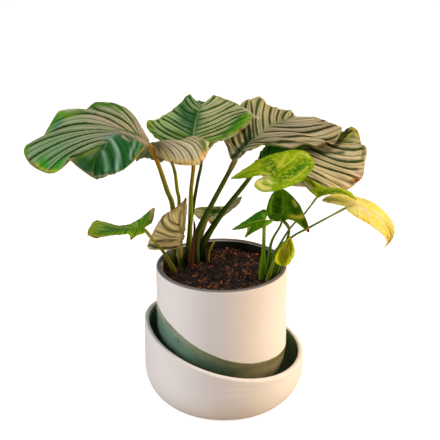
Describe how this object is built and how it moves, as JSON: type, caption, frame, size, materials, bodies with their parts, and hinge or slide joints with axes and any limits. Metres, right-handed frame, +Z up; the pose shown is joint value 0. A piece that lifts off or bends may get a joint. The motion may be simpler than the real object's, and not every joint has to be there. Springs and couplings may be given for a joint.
{
  "type": "potted round-leaf calathea",
  "caption": "Round-leaf calathea with pale banded leaves, and an arrowhead vine beside it, in a glazed pot standing in a bowl-shaped saucer.",
  "frame": {"origin": "centre of the saucer's flat base, on the surface it stands on", "axes": "+Z up; -Y is the side that the plant shows to the viewer in the picture, +X to the viewer's right, with the vine at +X"},
  "size_m": [0.4354, 0.273, 0.3764],
  "materials": {
    "pot_glaze": "matt off-white glaze above a slanted line, green running into olive-brown below it, bare grey rim",
    "saucer_glaze": "matt off-white outside, dark green gloss glaze inside",
    "soil": "loose dark peat with bark pieces and pale grit",
    "calathea_leaf": "satin leaf, pale silvery bands between darker green ones along the side veins",
    "calathea_underside": "matt tan underside with darker curved bands",
    "calathea_stalk": "satin olive, warmer towards orange on the left stalks",
    "dry_sheath": "dry papery red-brown sheath",
    "vine_leaf": "satin yellow-green with pale mottling",
    "vine_stalk": "satin fresh green"
  },
  "bodies": {
    "root": {"saucer": "saucer_glaze", "pot": "pot_glaze", "soil": "soil", "stalk_left": "calathea_stalk", "stalk_inner": "calathea_stalk", "stalk_centre": "calathea_stalk", "stalk_back": "calathea_stalk", "stalk_right_upper": "calathea_stalk", "stalk_right_lower": "calathea_stalk", "stalk_low_left": "calathea_stalk", "stalk_low_front": "calathea_stalk", "stalk_low_back": "calathea_stalk", "sheath_dry": "dry_sheath", "sheath_young": "calathea_stalk", "vine_stalk_top": "vine_stalk", "vine_stalk_dark": "vine_stalk", "vine_stalk_side": "vine_stalk", "vine_stalk_small": "vine_stalk", "vine_stalk_yellow": "vine_stalk", "vine_stalk_young": "vine_stalk", "vine_sheath": "vine_stalk", "leaf_left": "calathea_leaf", "leaf_inner": "calathea_leaf", "leaf_centre": "calathea_leaf", "leaf_right_upper": "calathea_leaf", "leaf_right_lower": "calathea_leaf", "leaf_low_left": "calathea_leaf", "leaf_low_front": "calathea_underside", "leaf_low_back": "calathea_leaf", "leaf_back": "calathea_leaf", "vine_leaf_top": "vine_leaf", "vine_leaf_dark": "vine_leaf", "vine_leaf_side": "vine_leaf", "vine_leaf_small": "vine_leaf", "vine_leaf_yellow": "vine_leaf", "vine_leaf_young": "vine_leaf"}
  },
  "joints": []
}
